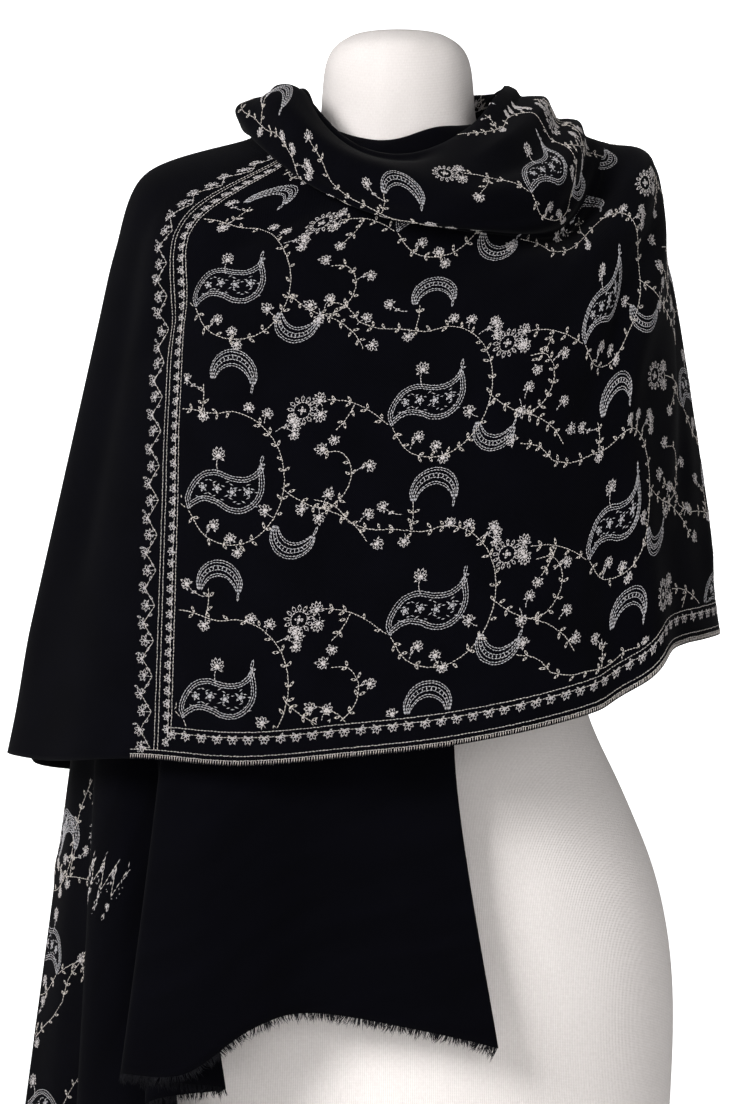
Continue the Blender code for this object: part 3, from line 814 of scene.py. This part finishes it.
# the borders: an end border up the cloth and a hem border along it
trim = {
    "hemEnd": 1.80, "top": 0.93, "blossomPitch": 0.0107, "zigzagPitch": 0.024, "edgePitch": 0.0017,
    "endLines": [(0.0, 0.0186), (-0.0024, 0.0160), (-0.0094, 0.0063), (-0.0121, 0.0063)],  # along, foot
    "hemLines": [(-0.030, 0.0063), (0.0, 0.0186), (0.0, 0.0222), (-0.030, 0.0032)],  # start, up
    "zigzagFrom": -0.0150, "zigzagWide": 0.0085,
}
borderLines = [straight((line, foot), (line, trim["top"])) for line, foot in trim["endLines"]]
borderLines += [straight((start, line), (trim["hemEnd"], line)) for start, line in trim["hemLines"]]
small = []
for at in np.arange(0.012, trim["top"], trim["blossomPitch"] * 0.8):
    small += blossom((-0.0030, at), np.pi + rng.normal(0, 0.25), 0.0040, 4)
for at in np.arange(0.0, trim["hemEnd"], trim["blossomPitch"]):
    small += blossom((at, 0.0180), -np.pi / 2 + rng.normal(0, 0.25), 0.0048, 4)
heights = np.arange(0.0075, trim["top"], trim["zigzagPitch"] / 2)
corners = [(trim["zigzagFrom"] - trim["zigzagWide"] * (turn % 2), at) for turn, at in enumerate(heights)]
borderLines.append(zigzagLine(corners))
for turn, (along, up) in enumerate(corners):
    if turn % 2:
        small += blossom((along, up), np.pi + rng.normal(0, 0.5), 0.0058, 4)
        small.append(leafPath((along + 0.0035, up + 0.005), rng.uniform(0.2, 1.4), 0.0034, 0.0014))
    else:
        foot = (along - 0.0065, up + rng.normal(0, 0.0006))
        small += blossom(foot, np.pi + rng.normal(0, 0.4), 0.0056, 4)
        small.append(np.stack([(along, up), (along - 0.0065, up)]))
    small.append(leafPath((along - 0.002, up + 0.004), rng.uniform(2.2, 4.0), 0.0036, 0.0014))
edging = [np.stack([(at, 0.0004), (at + rng.normal(0, 0.0002), 0.0034)])
          for at in np.arange(-0.029, trim["hemEnd"], trim["edgePitch"])]
borderStitches = np.concatenate([stitchesOf(borderLines, 0.75), stitchesOf(small, 0.5),
                                 stitchesOf(edging, 0.8, 0.003)])

# the cowl's embroidery: whole repeats of the cell, placed by where they show at the front
cowlCells = {
    "paisleys": [(0.092, 0.872, -0.12)],  # x and z as seen from the front, turn
    "crescents": [(-0.012, 0.873, 0.0), (-0.088, 0.936, 0.2)],
    "behind": [(0.262, 0.030, -0.1), (0.400, 0.020, 0.1), (0.538, 0.034, 0.0)],  # along, up, turn
    "least": 0.004,  # up
}
cowlSkin = angles > cowlField["frontFrom"]
cowlSkinMaps = np.stack([cowlAlong, np.broadcast_to(cowlRows, cowlAlong.shape)], axis=-1)[cowlSkin]
spots = [(seenAt(cowlRings[cowlSkin], cowlSkinMaps, x, z), turn) for x, z, turn in cowlCells["paisleys"]]
spots += [(seenAt(cowlRings[cowlSkin], cowlSkinMaps, x, z) - cell["risingFoot"], turn)
          for x, z, turn in cowlCells["crescents"]]
spots += [(np.array([along, up]), turn) for along, up, turn in cowlCells["behind"]]
cowlStitches = []
for spot, turn in spots:
    for paths, shade in fieldCell():
        cowlStitches.append(stitchesOf(turned(paths, turn, spot), shade))
cowlStitches = np.concatenate(cowlStitches)
onRoll = (cowlStitches[:, 1] > cowlCells["least"]) & (cowlStitches[:, 0] < cowlField["ends"])
cowlStitches = cowlStitches[onRoll]

# the under panel's embroidery: its own end border, which slants out under the hem, and the field
# beyond the last fold
underTrim = {
    "step": 0.002, "slant": [(-0.178, 0.4865), (-0.210, 0.467)],  # x and z of two points on it
    "from": -0.05, "to": 0.09, "zigzagPitch": 0.012, "blossomPitch": 0.0088,
    "slantFolds": (8.6, 12.2), "seenFolds": (9.3, 12.2), "stripFolds": (12.2, 14),
    "stripCells": [(-0.238, 0.452, -0.5), (-0.246, 0.352, 0.3),
                   (-0.250, 0.255, -0.4), (-0.252, 0.150, 0.2)],  # x, z, turn
    "clearOfFringe": 0.012,
}
panelMaps = np.stack([panelAlong, panelUp], axis=-1)
panelFold = np.linspace(0, len(table), len(panel))[:, None] + np.zeros(panel.shape[:2])
panelPlaces = np.arange(panelAlong.min(), 0, underTrim["step"])
panelRows = np.arange(0, panelUp[:, -1].min(), underTrim["step"])
panelValues = np.concatenate([panel, panelNormal, panelAlong[..., None], panelFold[..., None]], axis=-1)
panelLines = np.stack([readLine(panelRows, up, values) for up, values in zip(panelUp, panelValues)])
onPanel = np.stack([readLine(panelPlaces, line[:, 6], line, np.nan, np.nan)
                    for line in panelLines.transpose(1, 0, 2)], axis=1)
foldOf = onPanel[..., 7]
onPanel = onPanel[..., :6]


def onStretch(first, last, x, z):
    # the map value of the panel seen near x and z, between two fold lines
    chosen = (panelFold > first) & (panelFold < last)
    return seenAt(panel[chosen][:, None], panelMaps[chosen][:, None], x, z)


start, end = (onStretch(*underTrim["seenFolds"], x, z) for x, z in underTrim["slant"])
heading = np.arctan2(*(end - start)[::-1])
slantRun = (underTrim["from"], underTrim["to"])
slantLines = [straight((slantRun[0], line), (slantRun[1], line)) for line in (0.0, 0.0035)]
marks = np.arange(*slantRun, underTrim["zigzagPitch"])
zigzag = [(at, 0.016 + 0.007 * (turn % 2)) for turn, at in enumerate(marks)]
slantLines.append(zigzagLine(zigzag))
slantSmall = []
for at, out in zigzag:
    slantSmall += blossom((at, out + 0.002), 1.6 + rng.normal(0, 0.4), 0.0056, 5)
    slantSmall.append(leafPath((at + 0.004, out), rng.uniform(3.6, 5.6), 0.0036, 0.0014))
for at in np.arange(*slantRun, underTrim["blossomPitch"]):
    slantSmall += blossom((at, -0.0030), -1.6, 0.0042, 4)
slantBorder = np.concatenate([stitchesOf(turned(paths, heading, start, 1.0, True), shade)
                              for paths, shade in ((slantLines, 0.75), (slantSmall, 0.5))])


def onFolds(stitches, first, last):
    # the stitches that lie between two fold lines of the under panel
    place = ((stitches[:, :2] - (panelPlaces[0], 0)) / underTrim["step"]).astype(int)
    place = np.clip(place, 0, np.array(foldOf.shape) - 1)
    fold = foldOf[place[:, 0], place[:, 1]]
    return stitches[(fold > first) & (fold < last)]


slantBorder = onFolds(slantBorder, *underTrim["slantFolds"])
stripStitches = []
for x, z, turn in underTrim["stripCells"]:
    spot = onStretch(underTrim["stripFolds"][0], np.inf, x, z)
    for paths, shade in fieldCell():
        stripStitches.append(stitchesOf(turned(paths, turn, spot - (0.02, 0.02)), shade))
stripStitches = np.concatenate(stripStitches)
stripStitches = stripStitches[stripStitches[:, 1] > underTrim["clearOfFringe"]]
stripStitches = onFolds(stripStitches, *underTrim["stripFolds"])

least, step = (pattern["alongLeast"], 0.0), (pattern["alongStep"], pattern["upStep"])
fieldSpans = [  # name, and where along the cloth it starts and ends
    ("front_embroidery", -0.1, 0.30), ("arm_embroidery", 0.30, 0.60),
    ("side_embroidery", 0.60, 1.00), ("back_embroidery", 1.00, 1.9),
]
embroidered = []
for name, first, last in fieldSpans:
    chosen = (fieldStitches[:, 0] >= first) & (fieldStitches[:, 0] < last)
    embroidered.append(sewn(name, fieldStitches[chosen], woundField, least, step))
embroidered.append(sewn("border_embroidery", borderStitches, woundField, least, step,
                        stitch["fineWidth"], stitch["fineHeight"]))
embroidered.append(sewn("cowl_embroidery", cowlStitches, onCowl, (cowlField["least"], 0.0),
                        cowlField["step"]))
embroidered.append(sewn("under_embroidery", np.concatenate([slantBorder, stripStitches]), onPanel,
                        (panelPlaces[0], 0.0), underTrim["step"]))

fringe = {
    "length": 0.0056, "uneven": 0.0013, "tuftLength": 0.0009, "shortest": 0.002, "longest": 0.0085,
    "tuftPitch": 0.0035, "tuftLean": 0.28, "lean": 0.22, "curl": 0.35, "sunk": 0.0012,
    "footRadius": 0.00030, "bendRadius": 0.00021,
    "underSpacing": 0.00034, "endSpacing": 0.00045,
    "longer": [(0.002, 0.008), (0.30, 0.003)],  # where along the edge, and how much
}


def fringeHairs(name, edge, inside, facing, node, spacing, longer=()):
    # loose ends along an edge: three-sided tapering hairs, bent once, leaning together in tufts
    line = unit(np.gradient(edge, axis=0))
    away = edge - inside
    away = unit(away - line * (away * line).sum(axis=-1, keepdims=True))
    travelled = distanceAlong(edge)
    count = int(travelled[-1] / spacing)
    marks = np.sort(rng.uniform(0, travelled[-1], count))
    foot, ahead, along, out = (readLine(marks, travelled, values) for values in (edge, away, line, facing))
    tuftPlaces = np.arange(0, travelled[-1] + 0.004, fringe["tuftPitch"])
    tuft = np.interp(marks, tuftPlaces, rng.normal(0, 1, len(tuftPlaces)))
    length = rng.normal(fringe["length"], fringe["uneven"], count) + fringe["tuftLength"] * tuft
    length = np.clip(length, fringe["shortest"], fringe["longest"])
    for place, gain in longer:
        length = length + gain * bell(marks, place, 0.004) * rng.random(count)
    lean = fringe["tuftLean"] * tuft + rng.normal(0, fringe["lean"], count)
    lift = rng.normal(0, fringe["lean"], count)
    heading = unit(ahead + along * lean[:, None] + out * lift[:, None])
    sideways, outwards = (rng.normal(0, fringe["curl"], (count, 1)) for _ in range(2))
    second = unit(heading + along * sideways + out * outwards)
    bend = foot + heading * length[:, None] * 0.5
    tip = bend + second * length[:, None] * 0.5
    foot = foot - ahead * fringe["sunk"]
    ring = np.stack([np.cos(turn) * out + np.sin(turn) * along for turn in (0, 2.094, 4.189)], axis=1)
    points = np.concatenate([foot[:, None] + ring * fringe["footRadius"],
                             bend[:, None] + ring * fringe["bendRadius"], tip[:, None]], axis=1)
    faces = [(0, 1, 4, 3), (1, 2, 5, 4), (2, 0, 3, 5), (3, 4, 6), (4, 5, 6), (5, 3, 6), (2, 1, 0)]
    mesh = bpy.data.meshes.new(name)
    mesh.from_pydata(points.reshape(-1, 3), [], [tuple(int(7 * hair + corner) for corner in face)
                                                 for hair in range(count) for face in faces])
    piece = pieceOf(name, mesh)
    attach(piece, "root")
    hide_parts(node)
    print(name, "has", count, "hairs")
    return piece


skirtEnd = sheetRow[-1] > wrap["valleyLevel"]
fringes = [
    fringeHairs("under_fringe_hairs", panel[:, 0], panel[:, 1], panelNormal[:, 0], "under_fringe",
                fringe["underSpacing"], fringe["longer"]),
    fringeHairs("end_fringe_hairs", sheet[-1][skirtEnd], sheet[-4][skirtEnd], normal[-1][skirtEnd],
                "end_fringe", fringe["endSpacing"]),
]



def clothPlace(finish):
    # the cloth's own map in metres, whole and as its two distances
    place = finish.add("ShaderNodeUVMap", {"uv_map": "cloth"})
    first = finish.add("ShaderNodeSeparateXYZ", {}, {0: place})
    return place, first, Socket(finish, first.link.node.outputs[1])


weave = {"walePitch": 0.0013, "waleSlope": 0.8, "coursePitch": 0.0011}
twill = Finish("black twill", {"Roughness": 0.85, "Sheen Weight": 0.016, "Sheen Roughness": 0.5,
                               "Specular IOR Level": 0.03})
place, alongPlace, upPlace = clothPlace(twill)
wale = ((alongPlace + upPlace * weave["waleSlope"]) * (2 * np.pi / weave["walePitch"])).sine()
nap = twill.add("ShaderNodeTexNoise", {}, {"Vector": place, "Scale": 900.0, "Detail": 3.0})
cloud = twill.add("ShaderNodeTexNoise", {}, {"Vector": place, "Scale": 26.0, "Detail": 4.0})
tone = cloud * 0.5 + nap * 0.35 + wale * 0.10
blacks = [(0.25, (0.0002, 0.0002, 0.0008)), (0.75, (0.0012, 0.0012, 0.0028))]
twill.set("Base Color", twill.add("ShaderNodeValToRGB", {"stops": blacks}, {0: tone}))
relief = nap * 0.6 + wale * 0.5
twill.set("Normal", twill.add("ShaderNodeBump", {}, {"Strength": 0.4, "Distance": 0.0003, "Height": relief}))

knit = Finish("cream rib knit", {"Roughness": 0.88, "Sheen Weight": 0.10, "Specular IOR Level": 0.25})
place, roundPlace, highPlace = clothPlace(knit)
rib = (roundPlace * (2 * np.pi / form["ribPitch"])).sine()
course = (highPlace * (2 * np.pi / weave["coursePitch"])).sine()
fuzz = knit.add("ShaderNodeTexNoise", {}, {"Vector": place, "Scale": 420.0, "Detail": 4.0})
patch = knit.add("ShaderNodeTexNoise", {}, {"Vector": place, "Scale": 9.0, "Detail": 3.0})
tone = rib * 0.16 + course * 0.05 + fuzz * 0.45 + patch * 0.35
creams = [(0.15, (0.62, 0.575, 0.555)), (0.70, (0.80, 0.755, 0.735))]
knit.set("Base Color", knit.add("ShaderNodeValToRGB", {"stops": creams}, {0: tone}))
relief = rib * 0.5 + course * 0.2 + fuzz * 0.6
knit.set("Normal", knit.add("ShaderNodeBump", {}, {"Strength": 0.5, "Distance": 0.0004, "Height": relief}))

silk = Finish("silver thread", {"Roughness": 0.55, "Sheen Weight": 0.05, "Specular IOR Level": 0.4})
shade = silk.add("ShaderNodeAttribute", {"attribute_name": "shade"}, {}, 2)
colour = silk.add("ShaderNodeValToRGB", {"stops": [(0.0, (0.34, 0.35, 0.38)), (0.5, (0.45, 0.42, 0.42)),
                                                   (1.0, (0.54, 0.49, 0.44))]}, {0: shade})
silk.set("Base Color", colour)

for piece in (cowlCloth, frontCloth, backCloth, underCloth):
    piece.data.materials.append(twill.material)
formCover.data.materials.append(knit.material)
yarn = Finish("black yarn", {"Base Color": (0.0035, 0.0035, 0.0055, 1), "Roughness": 0.8,
                             "Specular IOR Level": 0.15})
for piece in fringes:
    piece.data.materials.append(yarn.material)
for piece in embroidered:
    piece.data.materials.append(silk.material)

# a pale floor that curves up into a backdrop, which glows with painted light: brightest up the backdrop
# behind and fading towards the sides
studio = {"floorFront": -9.0, "floorBack": 8.6, "bend": 0.6, "top": 3.6, "halfWidth": 9.0,
          "glowFrom": 1.0, "glowRise": 1.3, "glowWidth": 2.2, "glowFade": 0.9}
arc = np.linspace(0, np.pi / 2, 13)
profile = np.concatenate([[[studio["floorFront"], 0]],
                          np.column_stack([studio["floorBack"] + studio["bend"] * np.sin(arc),
                                           studio["bend"] * (1 - np.cos(arc))]),
                          [[studio["floorBack"] + studio["bend"], studio["top"]]]])
sides = np.array([studio["halfWidth"], -studio["halfWidth"]])
sweep = np.stack([np.broadcast_to(sides[:, None], (2, len(profile))),
                  np.broadcast_to(profile[:, 0], (2, len(profile))),
                  np.broadcast_to(profile[:, 1] - 0.0005, (2, len(profile)))], axis=-1)
floor = gridMesh("studio_floor", sweep)
paper = Finish("pale paper", {"Base Color": (0.93, 0.93, 0.93, 1), "Roughness": 0.9,
                              "Emission Strength": 1.0})
# painted light: the paper's emission is nil on the floor in front, rises to full towards and up the
# backdrop, and fades out towards the sides
place = paper.add("ShaderNodeTexCoord", {}, {}, 3)
split = paper.add("ShaderNodeSeparateXYZ", {}, {0: place})
back = Socket(paper, split.link.node.outputs[1]) - studio["glowFrom"]
beside = studio["glowWidth"] - split.join("ABSOLUTE", split)
rise = paper.add("ShaderNodeClamp", {}, {0: back * (1 / studio["glowRise"])})
fade = paper.add("ShaderNodeClamp", {}, {0: beside * (1 / studio["glowFade"])})
paintedGlow = paper.add("ShaderNodeValToRGB", {"stops": [(0.0, (0, 0, 0)), (1.0, (1, 1, 1))]}, {0: rise * fade})
paper.set("Emission Color", paintedGlow)
floor.data.materials.append(paper.material)

world = bpy.data.worlds.new("studio")
world.use_nodes = True
world.node_tree.nodes["Background"].inputs["Color"].default_value = (1, 1, 1, 1)
world.node_tree.nodes["Background"].inputs["Strength"].default_value = 0.27
bpy.context.scene.world = world
bpy.context.scene.view_settings.view_transform = "Standard"

lamps = [  # name, place, aimed at, size, watts
    ("key", (-1.9, -2.4, 1.9), (0, 0, 0.62), 1.2, 118),
    ("fill", (0.9, -3.1, 0.8), (0, 0, 0.5), 1.5, 30),
]
for name, spot, aim, size, watts in lamps:
    light = bpy.data.lights.new(name, "AREA")
    light.size, light.energy = size, watts
    lamp = bpy.data.objects.new(name, light)
    lamp.location = spot
    away = np.array(aim, float) - spot
    lamp.rotation_euler = (np.arccos(-away[2] / np.linalg.norm(away)), 0, np.arctan2(-away[0], away[1]))
    bpy.context.scene.collection.objects.link(lamp)

shot = {"distance": 3.2, "centre": (-0.021, 0.6285), "height": 0.773, "sensor": 36}
camera = bpy.data.objects.new("camera", bpy.data.cameras.new("camera"))
camera.data.sensor_width = shot["sensor"]
camera.data.lens = shot["sensor"] * shot["distance"] / shot["height"]
camera.location = (shot["centre"][0], -shot["distance"], shot["centre"][1])
camera.rotation_euler = (np.pi / 2, 0, 0)
bpy.context.scene.collection.objects.link(camera)
bpy.context.scene.camera = camera
